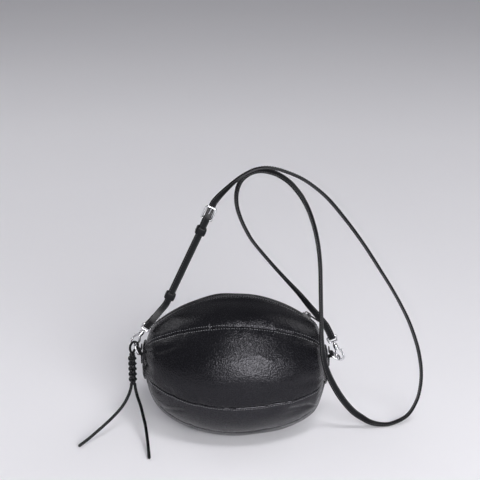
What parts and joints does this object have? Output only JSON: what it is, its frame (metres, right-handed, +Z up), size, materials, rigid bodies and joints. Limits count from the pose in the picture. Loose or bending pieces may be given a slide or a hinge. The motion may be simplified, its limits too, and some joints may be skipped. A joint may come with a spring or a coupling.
{
  "type": "balloon bag",
  "caption": "Small lantern-shaped crossbody bag of curved leather gores with a zip ridge, end rings, swivel clasps, a slim buckled strap and a knotted lace.",
  "frame": {"origin": "middle of the flattened patch of the base that the bag stands on, on the floor", "axes": "+X along the bag towards the ring without the lace, +Z up, -Y towards the front panel"},
  "size_m": [0.417, 0.1781, 0.3339],
  "materials": {
    "black_leather": "soft pebbled black leather",
    "strap_leather": "smooth black leather with painted edges",
    "chrome": "polished silver-coloured metal",
    "black_metal": "black lacquered zip metal",
    "zip_nylon": "satin black nylon",
    "lining_cloth": "dark woven cloth"
  },
  "bodies": {
    "bag": {"back_lower_panel": "black_leather", "back_panel": "black_leather", "back_top_panel": "black_leather", "base_panel": "black_leather", "buckle_frame": "chrome", "end_panel_left": "black_leather", "end_panel_right": "black_leather", "end_tab_left": "strap_leather", "end_tab_right": "strap_leather", "fixed_keeper": "strap_leather", "front_lower_panel": "black_leather", "front_panel": "black_leather", "front_top_panel": "black_leather", "lace_knot": "strap_leather", "lace_loop": "strap_leather", "lace_tail_left": "strap_leather", "lace_tail_right": "strap_leather", "lining": "lining_cloth", "long_strap": "strap_leather", "short_strap": "strap_leather", "zip_stop_left": "black_metal", "zip_stop_right": "black_metal", "zip_tape_back": "lining_cloth", "zip_tape_front": "lining_cloth", "zip_teeth_back": "zip_nylon", "zip_teeth_front": "zip_nylon"},
    "slider": {"zip_slider": "black_metal"},
    "pull": {"zip_pull": "black_metal"},
    "ring_left": {"d_ring_left": "chrome", "clasp_eye_left": "chrome"},
    "ring_right": {"d_ring_right": "chrome", "clasp_eye_right": "chrome"},
    "clasp_left": {"clasp_hook_left": "chrome", "clasp_pin_left": "chrome"},
    "clasp_right": {"clasp_hook_right": "chrome", "clasp_pin_right": "chrome"},
    "gate_left": {"clasp_gate_left": "chrome"},
    "gate_right": {"clasp_gate_right": "chrome"},
    "prong": {"buckle_prong": "chrome"},
    "loose_keeper": {"sliding_keeper": "strap_leather"}
  },
  "joints": [
    {"name": "slider_travel", "type": "hinge", "parent": "bag", "child": "slider", "pos_m": [0, -0.01766, 0.01017], "axis": [0, -0.9703, 0.2419], "range_deg": [0, 66.2]},
    {"name": "zip_pull_swing", "type": "hinge", "parent": "slider", "child": "pull", "pos_m": [0.08805, 0.01489, 0.14072], "axis": [0, -0.9703, 0.2419], "range_deg": [0, 150]},
    {"name": "d_ring_left_tilt", "type": "hinge", "parent": "bag", "child": "ring_left", "pos_m": [-0.117, 0, 0.09782], "axis": [0, -1, 0], "range_deg": [0, 20], "deforming": ["short_strap", "lace_loop"]},
    {"name": "clasp_left_swivel", "type": "hinge", "parent": "ring_left", "child": "clasp_left", "pos_m": [-0.10995, -0.00151, 0.12738], "axis": [0.577, -0.1908, 0.7942], "range_deg": [-12, 12]},
    {"name": "gate_left", "type": "hinge", "parent": "clasp_left", "child": "gate_left", "pos_m": [-0.11656, 0.00017, 0.12151], "axis": [-0.1122, -0.9816, -0.1544], "range_deg": [0, 21], "stiffness_Nm_per_rad": 0.004, "springref_deg": -17.19},
    {"name": "d_ring_right_tilt", "type": "hinge", "parent": "bag", "child": "ring_right", "pos_m": [0.117, 0, 0.0945], "axis": [0, 1, 0], "range_deg": [0, 20], "deforming": ["long_strap"]},
    {"name": "clasp_right_swivel", "type": "hinge", "parent": "ring_right", "child": "clasp_right", "pos_m": [0.11948, 0.0024, 0.1097], "axis": [-0.3987, 0, 0.9171], "range_deg": [-12, 12]},
    {"name": "gate_right", "type": "hinge", "parent": "clasp_right", "child": "gate_right", "pos_m": [0.12473, 0.0024, 0.10239], "axis": [0, 1, 0], "range_deg": [0, 21], "stiffness_Nm_per_rad": 0.004, "springref_deg": -17.19},
    {"name": "buckle_prong_lift", "type": "hinge", "parent": "bag", "child": "prong", "pos_m": [-0.03418, 0.004, 0.26608], "axis": [0.9085, 0, -0.4179], "range_deg": [0, 25]},
    {"name": "sliding_keeper_slide", "type": "slide", "parent": "bag", "child": "loose_keeper", "axis": [0.4179, 0, 0.9085], "range_m": [0, 0.078]}
  ]
}
